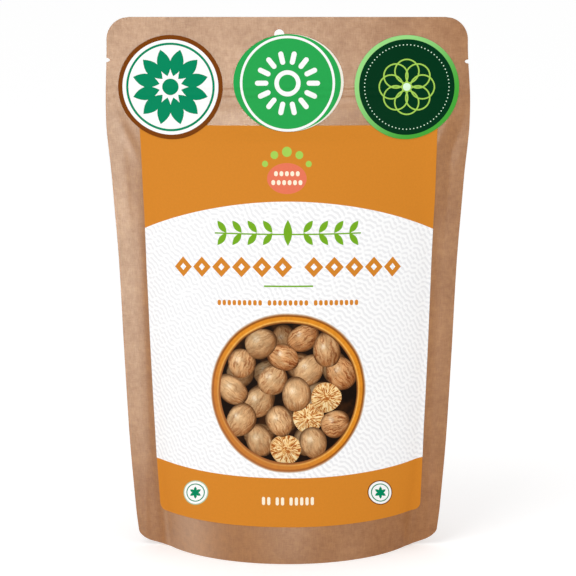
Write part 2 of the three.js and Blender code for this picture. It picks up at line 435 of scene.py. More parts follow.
# Brown paper film: cloudy mottling, short fibres both ways, fine grain, and a satin surface.
def paperFinish():
    material, tree, shader = newFinish("brownPaper", paper["roughness"], paper["specular"])
    film = uvOf(tree, "film")
    clouds = noise(tree, film, 0.05, 4.0, 0.6)
    mottle = noise(tree, film, 0.32, 4.0, 0.6, 0.4)
    lying = noise(tree, mapped(tree, film, (0.3, 2.0, 1), turn=0.04), 1.0, 3.0, 0.6, 0.5)
    upright = mapped(tree, film, (2.0, 0.24, 1), turn=-0.05, shift=(31, 7, 0))
    standing = noise(tree, upright, 1.0, 3.0, 0.6, 0.5)
    grain = noise(tree, film, 2.2, 4.0, 0.7)
    tone = None
    for part, weight in ((clouds, 0.22), (mottle, 0.24), (lying, 0.18), (standing, 0.22), (grain, 0.14)):
        share = sums(tree, "MULTIPLY", part, weight)
        tone = share if tone is None else sums(tree, "ADD", tone, share)
    colour = ramp(tree, tone, [(0.4, paper["dark"]), (0.59, paper["light"])], smoothly=False)
    flecks = noise(tree, mapped(tree, film, (0.5, 2.6, 1), turn=0.5, shift=(3, 19, 0)), 1.0, 2.0, 0.5)
    few = greys(tree, flecks, (0.68, 0), (0.77, 0.4), smoothly=False)
    colour = blend(tree, few, colour, linear(paper["fibre"]))
    paint(tree, shader, colour)
    satin = greys(tree, tone, (0.4, paper["roughness"] + 0.05), (0.6, paper["roughness"] - 0.04))
    tree.links.new(satin, shader.inputs["Roughness"])
    bump(tree, shader, tone, 0.35, 0.0003)
    return material


# How wide the film is cut at a height, on the left (-1) or the right (1).
def halfWidthAt(height, side):
    half = pouch["halfFilm"]
    top = pouch["topCorner"]
    lower = pouch["lowerCorner"]
    inTop = np.clip(height - (pouch["height"] - top), 0, top)
    inLower = np.clip(lower - height, 0, lower)
    cut = top - np.sqrt(top**2 - inTop**2) + lower - np.sqrt(lower**2 - inLower**2)
    cut = cut + pouch["topTaper"][side] * between(height, *pouch["topTaperSpan"])
    for taper in ("bodyTaper", "floorTaper", "footTaper"):
        cut = cut + pouch[taper] * between(height, *pouch[taper + "Span"])
    rise = np.clip(np.abs(height - pouch["notchHeights"][side]) / pouch["notchHalfHeight"], 0, 1)
    return half - cut - pouch["notchDepth"] * np.sqrt(1 - rise**2)


# How far the cut lower edge of the film is above the floor.
def wingLiftAt(across):
    lift = np.where(across < 0, pouch["wingLift"][-1], pouch["wingLift"][1])
    first, last = pouch["wingSpan"]
    return lift * np.clip((np.abs(across) - first) / (last - first), 0, 1) ** pouch["wingCurve"]


# Evenly spaced values between marks, no further apart than the spacing for that stretch.
def ruled(marks, spacings):
    values = [marks[0]]
    for start, end, spacing in zip(marks, marks[1:], spacings):
        count = max(1, math.ceil((end - start) / spacing - 1e-6))
        values += [start + (end - start) * (k + 1) / count for k in range(count)]
    return np.array(values)


underside = {
    "rim": 1.4,
    "halfLength": 64.0,
    "sag": 2.0,
    "atWall": 5.0,
    "atCornerWall": 9.0,
    "atCornerFold": 14.0,
    "bellyHalfLength": 20.0,
    "hollowSpan": (2.2, 7.2),  # half depths over which the hollow opens
    "strips": 26,
}


def buildPouch():
    top = pouch["height"]
    corner = top - pouch["topCorner"]
    holeAcross, holeHeight = pouch["hole"]
    reach = pouch["cellRound"]
    marks = pouch["rowMarks"] + [holeHeight - reach - 0.4, holeHeight + reach - 0.4, top]
    rows = ruled(marks, pouch["rowCells"])
    rows = np.sort(np.append(rows, corner))
    half = pouch["halfFilm"]
    steady = pouch["steady"]
    marks = [-half, -steady, holeAcross - reach, holeAcross + reach, steady, half]
    columns = ruled(marks, [1.0, pouch["wideCell"], 0.6, pouch["wideCell"], 1.0])
    across, height = np.meshgrid(columns, rows)
    limit = np.where(across < 0, halfWidthAt(height, -1), halfWidthAt(height, 1))
    beyond = np.maximum(np.abs(across) - steady, 0) / (half - steady)
    across = np.sign(across) * (np.minimum(np.abs(across), steady) + beyond * (limit - steady))
    height = height + wingLiftAt(across) * np.clip(1 - height / pouch["wingFade"], 0, 1)

    # the cells round the hole are pulled onto its edge
    fromHole = np.hypot(across - holeAcross, height - holeHeight)
    rowCentre = int(np.argmin(np.abs(rows - holeHeight)))
    columnCentre = int(np.argmin(np.abs(columns - holeAcross)))
    block = pouch["holeBlock"]
    ring = []
    for i in range(rowCentre - block, rowCentre + block + 1):
        for j in range(columnCentre - block, columnCentre + block + 1):
            edge = max(abs(i - rowCentre), abs(j - columnCentre))
            if edge == block:
                ring.append((i, j))
                scale = pouch["holeRadius"] / fromHole[i, j]
                across[i, j] = holeAcross + (across[i, j] - holeAcross) * scale
                height[i, j] = holeHeight + (height[i, j] - holeHeight) * scale
    ring.sort(key=lambda c: math.atan2(height[c] - holeHeight, across[c] - holeAcross))

    front = panelPoint(across, height, -1)
    back = panelPoint(across, height, 1)
    rowCount, columnCount = across.shape
    count = rowCount * columnCount
    points = [front.reshape(-1, 3), back.reshape(-1, 3)]
    uvs = [np.stack([across, height], -1).reshape(-1, 2)]
    uvs.append(np.stack([across + pouch["islandStep"], height], -1).reshape(-1, 2))
    faces = []

    def inHole(i, j):
        return abs(i + 0.5 - rowCentre) < block and abs(j + 0.5 - columnCentre) < block

    for i in range(rowCount - 1):
        for j in range(columnCount - 1):
            if inHole(i, j):
                continue
            a = i * columnCount + j
            b = a + columnCount
            faces.append((a, a + 1, b + 1, b))
            faces.append((count + a, count + b, count + b + 1, count + a + 1))
    for (i, j), (k, m) in zip(ring, ring[1:] + ring[:1]):
        a = i * columnCount + j
        b = k * columnCount + m
        faces.append((a, b, count + b, count + a))
    for i in range(rowCount - 1):
        a = i * columnCount
        b = a + columnCount
        faces.append((a, b, count + b, count + a))
        a += columnCount - 1
        b += columnCount - 1
        faces.append((a, count + a, count + b, b))
    last = (rowCount - 1) * columnCount
    for j in range(columnCount - 1):
        faces.append((last + j, last + j + 1, count + last + j + 1, count + last + j))

    # underside: standing rim, channel, folded gusset that sags to the floor in the middle
    outer = -front[0, :, 1]
    sideways = front[0, :, 0]
    rim = np.minimum(underside["rim"], outer * 0.5)
    hollow = between(outer, *underside["hollowSpan"]) * (np.abs(sideways) < underside["halfLength"])
    lowest = front[0, :, 2]
    rise = between(np.abs(sideways), underside["bellyHalfLength"], underside["halfLength"])
    atFold = -underside["sag"] + (underside["atCornerFold"] + underside["sag"]) * rise
    atWall = underside["atWall"] + (underside["atCornerWall"] - underside["atWall"]) * rise
    strips = []
    for k in range(-1, underside["strips"] + 2):
        share = np.clip(2 * k / underside["strips"] - 1, -1, 1)
        lift = np.maximum(atFold + (atWall - atFold) * abs(share) ** (2 - rise), 0) * hollow
        if k in (-1, underside["strips"] + 1):
            lift = lift * 0
        strips.append(np.stack([sideways, share * (outer - rim), lift + lowest], -1))
    base = 2 * count
    points.append(np.concatenate(strips))
    for strip in strips:
        uvs.append(np.stack([sideways, 2 * pouch["islandStep"] + strip[:, 1]], -1))
    rings = [list(range(columnCount))]
    rings += [list(range(base + k * columnCount, base + (k + 1) * columnCount)) for k in range(len(strips))]
    rings.append(list(range(count, count + columnCount)))
    for near, far in zip(rings, rings[1:]):
        for j in range(columnCount - 1):
            faces.append((near[j], far[j], far[j + 1], near[j + 1]))
    faces.append(tuple(ring[0] for ring in reversed(rings)))
    faces.append(tuple(ring[-1] for ring in rings))
    made = meshFrom("paperPouch", np.concatenate(points), faces, {"film": np.concatenate(uvs)})
    joined = bmesh.new()  # the strips of the underside run together at the seals
    joined.from_mesh(made.data)
    bmesh.ops.remove_doubles(joined, verts=joined.verts, dist=0.002 * mm)
    joined.to_mesh(made.data)
    joined.free()
    made.data.set_sharp_from_angle(angle=math.radians(pouch["sharpAngle"]))
    made.data.materials.append(paperFinish())
    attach(made, "root")
    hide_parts("pouch")
    return made


buildPouch()
print("pouch built")


# ---------- printed skins

# Turns points given round (0, 0) and moves them to their centre.
def laid(x, y, centre, turn):
    c, s = math.cos(turn), math.sin(turn)
    return np.stack([centre[0] + x * c - y * s, centre[1] + x * s + y * c], -1)


def around(centre, radius, turn):
    return centre[0] + radius * math.cos(turn), centre[1] + radius * math.sin(turn)


# Outlines, as (across, height) points round the shape.
def oval(centre, halfWidth, halfHeight=None, turn=0.0, points=48, start=0.0):
    angle = np.arange(points) * 2 * math.pi / points + start
    x = halfWidth * np.cos(angle)
    y = (halfWidth if halfHeight is None else halfHeight) * np.sin(angle)
    return laid(x, y, centre, turn)


def roundBar(centre, width, height, radius=None, turn=0.0, perCorner=4):
    radius = min(width, height) / 2 if radius is None else radius
    outline = []
    for k, (sx, sy) in enumerate(((1, 1), (-1, 1), (-1, -1), (1, -1))):
        for step in range(perCorner + 1):
            angle = (k + step / perCorner) * math.pi / 2
            outline.append((sx * (width / 2 - radius) + radius * math.cos(angle),
                            sy * (height / 2 - radius) + radius * math.sin(angle)))
    x, y = np.array(outline).T
    return laid(x, y, centre, turn)


# A leaf-like blade pointed at both ends.
def blade(foot, length, width, turn, points=9):
    share = np.linspace(0, 1, points)
    swell = width / 2 * np.sin(math.pi * share) ** 0.9
    x = np.concatenate([share * length, share[-2:0:-1] * length])
    y = np.concatenate([swell, -swell[-2:0:-1]])
    return laid(x, y, foot, turn)


def shape(outline, ink, hole=None, centre=(0, 0), reach=(1, 1), turn=0.0, seed=(0, 0)):
    return {"outline": outline, "ink": ink, "hole": hole, "centre": centre, "reach": reach,
            "turn": turn, "seed": seed}


def insideOutline(outline, points):
    x, y = points.T
    inside = np.zeros(len(points), bool)
    low = outline.min(0)
    high = outline.max(0)
    near = (x >= low[0]) & (x <= high[0]) & (y >= low[1]) & (y <= high[1])
    x = x[near]
    y = y[near]
    flips = np.zeros(len(x), int)
    for (ax, ay), (bx, by) in zip(outline, np.roll(outline, -1, 0)):
        if ay == by:
            continue
        crosses = (ay > y) != (by > y)
        flips += crosses & (x < (bx - ax) * (y - ay) / (by - ay) + ax)
    inside[near] = flips % 2 == 1
    return inside


# Adds points so that no side of an outline is longer than the reach.
def fine(outline, reach=2.0):
    points = []
    for a, b in zip(outline, np.roll(outline, -1, 0)):
        count = max(1, math.ceil(np.hypot(*(b - a)) / reach))
        points += [a + (b - a) * k / count for k in range(count)]
    return np.array(points)


skinMesh = {"batch": 500, "clear": 0.6}  # inner points keep this clear of the outlines


# A thin printed sheet stuck on the front panel. Each shape is painted over the ones before it.
# liftAt gives how far its underside stands off the film.
def printedSkin(name, outline, shapes, inks, base, spacings, liftAt, thickness):
    loops = [outline]
    for item in shapes:
        loops.append(item["outline"])
        if item["hole"] is not None:
            loops.append(item["hole"])
    coords = []
    edges = []
    for loop in map(fine, loops):
        first = len(coords)
        coords += loop.tolist()
        edges += [(first + k, first + (k + 1) % len(loop)) for k in range(len(loop))]
    fixed = np.array(coords)
    gridAcross, gridHeight = np.meshgrid(*spacings)
    grid = np.stack([gridAcross.ravel(), gridHeight.ravel()], -1)
    grid = grid[insideOutline(outline, grid)]
    keep = np.ones(len(grid), bool)
    for start in range(0, len(grid), skinMesh["batch"]):
        part = grid[start:start + skinMesh["batch"]]
        away = np.hypot(*(part[:, None, :] - fixed[None, :, :]).transpose(2, 0, 1)).min(1)
        keep[start:start + skinMesh["batch"]] = away > skinMesh["clear"]
    coords += grid[keep].tolist()
    flat, _, triangles, _, _, _ = delaunay_2d_cdt([Vector(c) for c in coords], edges, [], 0, 1e-4)
    flat = np.array([tuple(point) for point in flat])
    triangles = np.array([tri for tri in triangles if len(tri) == 3])
    middles = flat[triangles].mean(1)
    kept = insideOutline(outline, middles)
    triangles = triangles[kept]
    middles = middles[kept]
    owner = np.full(len(triangles), -1)
    for k, item in enumerate(shapes):
        covered = insideOutline(item["outline"], middles)
        if item["hole"] is not None:
            covered &= ~insideOutline(item["hole"], middles)
        owner[covered] = k
    used = np.unique(triangles)
    renumber = np.full(len(flat), -1)
    renumber[used] = np.arange(len(used))
    flat = flat[used]
    triangles = renumber[triangles]
    swap = np.cross(flat[triangles[:, 1]] - flat[triangles[:, 0]],
                    flat[triangles[:, 2]] - flat[triangles[:, 0]]) < 0
    triangles[swap] = triangles[swap][:, ::-1]

    # every edge that only one triangle uses is on the outline
    sides = np.concatenate([triangles[:, [0, 1]], triangles[:, [1, 2]], triangles[:, [2, 0]]])
    known = {tuple(side) for side in sides.tolist()}
    border = [side for side in known if (side[1], side[0]) not in known]

    across, height = flat.T
    normal = panelNormal(across, height, -1)
    ground = panelPoint(across, height, -1)
    lift = liftAt(across, height)[:, None]
    count = len(flat)
    points = np.concatenate([ground + normal * (lift + thickness), ground + normal * lift])
    faces = triangles.tolist() + (triangles[:, ::-1] + count).tolist()
    faces += [(b, a, a + count, b + count) for a, b in border]

    order = [inks.index(base)] + [inks.index(item["ink"]) for item in shapes]
    slots = [order[k + 1] for k in owner] + [inks.index(base)] * (len(triangles) + len(border))
    filmUv = np.concatenate([flat, flat])
    spotUv = np.zeros((len(triangles), 3, 2))
    litUv = np.zeros((len(triangles), 3, 2))
    seedUv = np.zeros((len(triangles), 3, 2))
    for k, item in enumerate(shapes):
        mine = owner == k
        local = flat[triangles[mine]] - np.array(item["centre"])
        c, s = math.cos(item["turn"]), math.sin(item["turn"])
        spotUv[mine, :, 0] = (local[..., 0] * c + local[..., 1] * s) / item["reach"][0]
        spotUv[mine, :, 1] = (local[..., 1] * c - local[..., 0] * s) / item["reach"][1]
        litUv[mine] = local / min(item["reach"])
        seedUv[mine] = item["seed"]
    rest = np.zeros((3 * len(triangles) + 4 * len(border), 2))
    uvs = {
        "film": filmUv,
        "spot": np.concatenate([spotUv.reshape(-1, 2), rest]),
        "lit": np.concatenate([litUv.reshape(-1, 2), rest]),
        "seed": np.concatenate([seedUv.reshape(-1, 2), rest]),
    }
    made = meshFrom(name, points, faces, uvs, slots, np.concatenate([normal, -normal]))
    for ink in inks:
        made.data.materials.append(inkFinishes[ink])
    return made


# ---------- inks

inkColours = {
    "orange": (212, 133, 43),
    "white": (250, 250, 249),
    "coral": (232, 120, 90),
    "leafGreen": (165, 208, 88),
    "sage": (172, 196, 160),
    "lineGreen": (118, 172, 34),
    "cream": (252, 240, 214),
    "rimBrown": (122, 62, 12),
    "sealGreen": (0, 136, 92),
    "badgeGreen": (40, 166, 80),
    "paleBase": (240, 236, 222),
    "deepGreen": (0, 52, 26),
    "mint": (222, 250, 222),
}
inkFinishes = {}
printed = {"roughness": 0.75, "specular": 0.01, "toothStrength": 0.04, "toothDepth": 0.0001}


def printedFinish(name):
    return newFinish(name, printed["roughness"], printed["specular"])


# The label paper's own tooth.
def paperTooth(tree, shader, film):
    bump(tree, shader, noise(tree, film, 2.5, 3.0, 0.6), printed["toothStrength"], printed["toothDepth"])


# Printed ink on satin label paper: very slight mottling, and the paper's own tooth.
def inkFinish(name, colour):
    roughness = printed["roughness"]
    material, tree, shader = printedFinish(name)
    film = uvOf(tree, "film")
    mottle = noise(tree, film, 0.9, 4.0, 0.65)
    paler = [min(1, value * 1.015) for value in linear(colour)[:3]] + [1.0]
    deeper = [value * 0.98 for value in linear(colour)[:3]] + [1.0]
    paint(tree, shader, ramp(tree, mottle, [(0.35, deeper), (0.65, paler)]))
    tooth = greys(tree, mottle, (0.3, roughness - 0.04), (0.7, roughness + 0.05))
    tree.links.new(tooth, shader.inputs["Roughness"])
    paperTooth(tree, shader, film)
    return material


for inkName, inkColour in inkColours.items():
    inkFinishes[inkName] = inkFinish(inkName, inkColour)


field = {
    "paper": (253, 253, 253),
    "line": (237, 237, 238),
    "pitch": 2.3,  # from one line of the maze to the next
    "turns": [52, 44, 60, 35, 69, 26, 80, 12, 104],
    "seed": 3,
}


# White field with a faint maze of wandering lines: waves of one length that cross at many angles.
def fieldFinish():
    material, tree, shader = printedFinish("wavyField")
    film = uvOf(tree, "film")
    raised = vectors(tree, "ADD", film, (0, 0, 1))
    draw = np.random.default_rng(field["seed"])
    total = None
    for turn in field["turns"]:
        angle = math.radians(turn + draw.uniform(-6, 6))
        rate = 2 * math.pi / field["pitch"] * draw.uniform(0.94, 1.06)
        wave = (rate * math.cos(angle), rate * math.sin(angle), draw.uniform(0, 2 * math.pi))
        crest = sums(tree, "SINE", vectors(tree, "DOT_PRODUCT", raised, wave))
        total = crest if total is None else sums(tree, "ADD", total, crest)
    share = greys(tree, sums(tree, "MULTIPLY_ADD", total, 0.1, 0.5), (0.46, 0), (0.66, 1))
    colour = blend(tree, share, linear(field["paper"]), linear(field["line"]))
    paint(tree, shader, colour)
    paperTooth(tree, shader, film)
    return material


# How far a point is from the middle of its shape, 1 at the edge.
def spotRadius(tree):
    spot = uvOf(tree, "spot")
    return spot, vectors(tree, "LENGTH", spot)


bowl = {
    "centre": (0.3, 83.9),
    "radius": 39.2,
    "mouth": 34.0,
    "edge": (206, 182, 156),
    "side": (168, 104, 48),
    "groove": (142, 78, 20),
    "wood": (226, 141, 38),
    "shine": (247, 184, 88),
    "inner": (70, 38, 14),
    "red": (182, 112, 62),
    "dark": (24, 14, 9),
    "darkGlow": (58, 32, 14),
}


# Turned wooden rim of the pictured bowl: a bright band, redder at the lower left, with a soft outer edge.
def rimFinish():
    material, tree, shader = printedFinish("bowlRim")
    spot, radius = spotRadius(tree)
    mouth = bowl["mouth"] / bowl["radius"]
    x, y, _ = axes(tree, spot)
    lean = sums(tree, "ADD", x, y)  # least at the lower left, most at the upper right
    sway = noise(tree, spot, 1.6, 2.0)
    pushed = sums(tree, "ADD", radius, sums(tree, "MULTIPLY_ADD", sway, 0.03, -0.015))
    across = place(tree, "ShaderNodeMapRange", {0: pushed, 1: mouth, 2: 1.0, 3: 0.0, 4: 1.0}).outputs[0]
    stops = [(0.0, bowl["inner"]), (0.14, bowl["side"]), (0.24, bowl["shine"]), (0.36, bowl["wood"]),
             (0.6, bowl["wood"]), (0.7, bowl["groove"]), (0.8, bowl["side"]), (0.9, bowl["edge"]),
             (1.0, field["paper"])]
    colour = ramp(tree, across, stops, smoothly=False)
    streaks = noise(tree, mapped(tree, spot, (9, 9, 9)), 1.0, 5.0, 0.7, 2.0)
    colour = times(tree, colour, greys(tree, streaks, (0.35, 0.86), (0.62, 1.06)), 0.8)
    red = greys(tree, sums(tree, "MULTIPLY_ADD", lean, -0.36, 0.5), (0.45, 0), (0.95, 0.6))
    inside = greys(tree, across, (0.78, 1), (0.92, 0))
    share = sums(tree, "MULTIPLY", red, inside)
    paint(tree, shader, blend(tree, share, colour, linear(bowl["red"])))
    return material


def darkFinish():
    material, tree, shader = printedFinish("bowlDark")
    clouds = noise(tree, uvOf(tree, "film"), 0.14, 2.0)
    glow = ramp(tree, clouds, [(0.4, bowl["dark"]), (0.75, bowl["darkGlow"])])
    paint(tree, shader, glow)
    return material


nut = {
    "pale": (238, 204, 158),
    "tan": (212, 168, 120),
    "brown": (170, 118, 72),
    "rim": (68, 38, 18),
    "shine": (255, 240, 214),
    "redTint": (255, 222, 190),  # over the redder nuts
    "furrowTint": (176, 130, 96),
    "flesh": (250, 212, 150),
    "fleshDeep": (230, 172, 98),
    "fleshPale": (252, 230, 182),
    "vein": (172, 98, 42),
    "skin": (206, 160, 108),
    "seedSpread": 37.0,  # how far apart two nuts' markings are taken
    "lightFrom": (-0.26, 0.3, 0),
    "furrows": 9.0,
    "furrowLength": 1.4,
    "veins": 4.2,
    "veinSeedSpread": 19.0,
    "edgeShade": 0.85,
}


# A whole nutmeg, lit from the upper left, with fine furrows that meet at its two ends.
# The first seed sets its shade and the second its colour and markings.
def nutFinish():
    material, tree, shader = printedFinish("nutShell")
    spot, radius = spotRadius(tree)
    shadeSeed, markSeed, _ = axes(tree, uvOf(tree, "seed"))
    shift = vectors(tree, "MULTIPLY", uvOf(tree, "seed"), (0.0, nut["seedSpread"], 0.0))
    here = vectors(tree, "ADD", spot, shift)
    fromShine = vectors(tree, "DISTANCE", uvOf(tree, "lit"), nut["lightFrom"])
    far = sums(tree, "MULTIPLY", fromShine, 0.62)
    body = ramp(tree, far, [(0.0, nut["pale"]), (0.4, nut["tan"]), (0.78, nut["brown"]), (1.0, nut["rim"])])
    warm = greys(tree, markSeed, (0.35, 0.1), (0.85, 0.65))
    body = blend(tree, warm, body, times(tree, body, linear(nut["redTint"])))

    # furrows run like the lines of a melon: their place across widens towards the middle
    along, upward, _ = axes(tree, spot)
    left = sums(tree, "SUBTRACT", 1.0, sums(tree, "MULTIPLY", along, along))
    swell = sums(tree, "SQRT", sums(tree, "MAXIMUM", left, 0.08))
    wander = noise(tree, here, 2.0, 3.0)
    girth = sums(tree, "DIVIDE", upward, swell)
    girth = sums(tree, "ADD", girth, sums(tree, "MULTIPLY_ADD", wander, 0.7, -0.35))
    lines = fromAxes(tree, sums(tree, "MULTIPLY", along, nut["furrowLength"]),
                     sums(tree, "MULTIPLY", girth, nut["furrows"]),
                     sums(tree, "MULTIPLY", markSeed, nut["seedSpread"]))
    weave = noise(tree, lines, 1.0, 5.0, 0.7)
    furrows = greys(tree, weave, (0.38, 0.9), (0.52, 0.0))
    strength = sums(tree, "MULTIPLY", furrows, greys(tree, markSeed, (0.1, 0.5), (0.7, 1.0)))
    body = blend(tree, strength, body, times(tree, body, linear(nut["furrowTint"])))
    body = blend(tree, greys(tree, weave, (0.54, 0.0), (0.68, 0.5)), body, linear(nut["pale"]))
    body = times(tree, body, greys(tree, noise(tree, here, 1.8, 4.0, 0.6), (0.35, 0.74), (0.62, 1.08)), 0.85)
    gleam = greys(tree, fromShine, (0.0, 0.6), (0.3, 0))
    pits = greys(tree, noise(tree, here, 5.0, 3.0, 0.7), (0.4, 0.2), (0.6, 1))
    body = blend(tree, sums(tree, "MULTIPLY", gleam, pits), body, linear(nut["shine"]))
    edge = greys(tree, radius, (0.74, 0), (1.0, nut["edgeShade"]))
    body = blend(tree, edge, body, linear(nut["rim"]))
    shade = greys(tree, shadeSeed, (0.0, 0.2), (0.3, 0.5), (0.6, 0.88), (1.0, 1.08), smoothly=False)
    body = times(tree, body, shade)
    paint(tree, shader, body)
    return material


# A cut nutmeg: cream flesh marbled with brown veins that spread to the edge.
def cutFinish():
    material, tree, shader = printedFinish("nutCut")
    spot, radius = spotRadius(tree)
    x, y, _ = axes(tree, spot)
    angle = sums(tree, "ARCTAN2", y, x)
    own = sums(tree, "MULTIPLY", axes(tree, uvOf(tree, "seed"))[1], nut["veinSeedSpread"])
    spread = fromAxes(tree, sums(tree, "MULTIPLY", sums(tree, "COSINE", angle), nut["veins"]),
                      sums(tree, "MULTIPLY", sums(tree, "SINE", angle), nut["veins"]),
                      sums(tree, "MULTIPLY_ADD", radius, 1.5, own))
    outer = noise(tree, spread, 1.5, 2.0, 0.5, 1.4)
    middle = noise(tree, fromAxes(tree, x, y, own), 4.5, 2.0, 0.5, 1.6)
    veins = blend(tree, greys(tree, radius, (0.15, 0), (0.4, 1)), middle, outer)
    stops = [(0.44, nut["vein"]), (0.5, nut["fleshDeep"]), (0.55, nut["flesh"]), (0.7, nut["fleshPale"])]
    colour = ramp(tree, veins, stops)
    high = sums(tree, "MULTIPLY_ADD", axes(tree, uvOf(tree, "lit"))[1], 0.5, 0.5)
    colour = times(tree, colour, greys(tree, high, (0.0, 0.8), (0.6, 1.0)))
    ragged = sums(tree, "ADD", radius, sums(tree, "MULTIPLY_ADD", outer, 0.3, -0.15))
    edge = greys(tree, ragged, (0.86, 0), (1.0, nut["edgeShade"]))
    paint(tree, shader, blend(tree, edge, colour, linear(nut["skin"])))
    return material


glowRim = {"light": (152, 218, 132), "dark": (70, 166, 58)}


# Light green rim that darkens towards the lower right.
def glowRimFinish():
    material, tree, shader = printedFinish("glowRim")
    x, y, _ = axes(tree, uvOf(tree, "spot"))
    share = sums(tree, "MULTIPLY_ADD", sums(tree, "SUBTRACT", x, y), 0.36, 0.5)
    colour = ramp(tree, share, [(0.1, glowRim["light"]), (0.9, glowRim["dark"])])
    paint(tree, shader, colour)
    return material


inkFinishes["field"] = fieldFinish()
inkFinishes["bowlRim"] = rimFinish()
inkFinishes["bowlDark"] = darkFinish()
inkFinishes["nutShell"] = nutFinish()
inkFinishes["nutCut"] = cutFinish()
inkFinishes["glowRim"] = glowRimFinish()


# ---------- label

labelLow, labelHigh = boxInMm("label")
label = {
    "bottom": labelLow[2],
    "top": 211.7,
    "corner": 3.3,
    "leftEdge": [(22, -75.7), (60, -75.2), (140, -74.9), (174, -73.8), (212, -72.6)],  # at these heights
    "rightEdge": [(22, 78.3), (45, 77.4), (60, 76.9), (134, 76.1), (174, 75.1), (212, 73.3)],
    "fieldReach": 80,  # the orange is drawn out to here and cut at the label's edge
    "columnMarks": [-76, -66, 66, 79],
    "rowArch": 1.8,  # the rows rise in the middle, where the film bulges, and so look straight in front
    "rowArchReach": 54,
    "markStretch": (1.27, 0.042, 0.2),  # sideways, and how the two directions lean into each other
    "halfCurve": 75.0,  # where the heights at the edge are taken
    "fieldTopAtEdge": 160.4,
    "fieldTop": 176.4,
    "fieldBottomAtEdge": 44.9,
    "fieldBottom": 42.3,
    "lift": 0.06,
    "thickness": 0.14,
}


def labelEdge(side, height):
    heights, acrosses = zip(*label[side])
    return float(np.interp(height, heights, acrosses))


def labelOutline():
    radius = label["corner"]
    middle = label["bottom"] + radius
    left = labelEdge("leftEdge", middle) + radius
    right = labelEdge("rightEdge", middle) - radius
    outline = []
    for centre, first in ((left, 1.0), (right, 1.5)):
        for angle in np.linspace(first * math.pi, (first + 0.5) * math.pi, 7):
            outline.append((centre + radius * math.cos(angle), middle + radius * math.sin(angle)))
    for height in (45, 60, 134, 174, label["top"]):
        outline.append((labelEdge("rightEdge", height), height))
    for height in (label["top"], 174, 140, 60, 45):
        outline.append((labelEdge("leftEdge", height), height))
    return np.array(outline)


# The curved edge of the white field, from left to right.
def fieldEdge(atEdge, atMiddle):
    across = np.linspace(-label["fieldReach"], label["fieldReach"], 61)
    drop = (atEdge - atMiddle) * (across / label["halfCurve"]) ** 2
    return np.stack([across, atMiddle + drop], -1)


# A row of short rounded bars in groups, where the pack has a line of words.
def barRow(centre, width, height, groups, gap, groupGap, ink):
    count = sum(groups)
    bar = (width - groupGap * (len(groups) - 1) - gap * (count - len(groups))) / count
    x = centre[0] - width / 2
    made = []
    for group in groups:
        for _ in range(group):
            made.append(shape(roundBar((x + bar / 2, centre[1]), bar, height), ink))
            x += bar + gap
        x += groupGap - gap
    return made


def garland(centre, width, height, ink):
    made = [shape(roundBar(centre, width, 0.7), ink)]
    pairs = 9
    for k in range(pairs):
        x = centre[0] + (k + 0.5 - pairs / 2) * width / pairs * 0.94
        away = 1 if k >= pairs / 2 else -1
        if k == pairs // 2:
            made.append(shape(blade((x, centre[1] - height / 2), height, 4.2, math.pi / 2), ink))
            continue
        for up in (1, -1):
            lean = math.radians(52) * up
            turn = lean if away > 0 else math.pi - lean
            made.append(shape(blade((x, centre[1]), height * 0.6, 3.1, turn), ink))
    return made


def lozengeRow(centre, width, height, count, gapAfter, gap, ink):
    pitch = (width - gap) / count
    made = []
    for k in range(count):
        x = centre[0] - width / 2 + (k + 0.5) * pitch + (gap if k >= gapAfter else 0)
        half = pitch / 2 - 0.35
        made.append(shape(oval((x, centre[1]), half, height / 2, points=4), ink,
                          hole=oval((x, centre[1]), half - 3.1, height / 2 - 3.2, points=4)))
    return made


picture = {
    "seed": 11,
    "nutHalfLength": (7.0, 9.2),
    "nutHalfWidth": (6.3, 7.3),
    "cuts": [(12.5, -19.5), (-1.5, -24.0), (19.5, -6.0)],
    "cutHalfLength": 7.6,
    "cutHalfWidth": 7.3,
    "dimCount": 11,
    "dimFar": (14, 25.5),
    "dimShade": (0.12, 0.3),
    "dimScale": 0.95,
    "rings": ((1, 2.0), (5, 12.5), (10, 26.0)),  # how many, and how far from the bowl's middle
    "shade": (0.55, 1.0),
    "apart": 14.0,
    "inset": 6.4,
    "easing": 60,
}


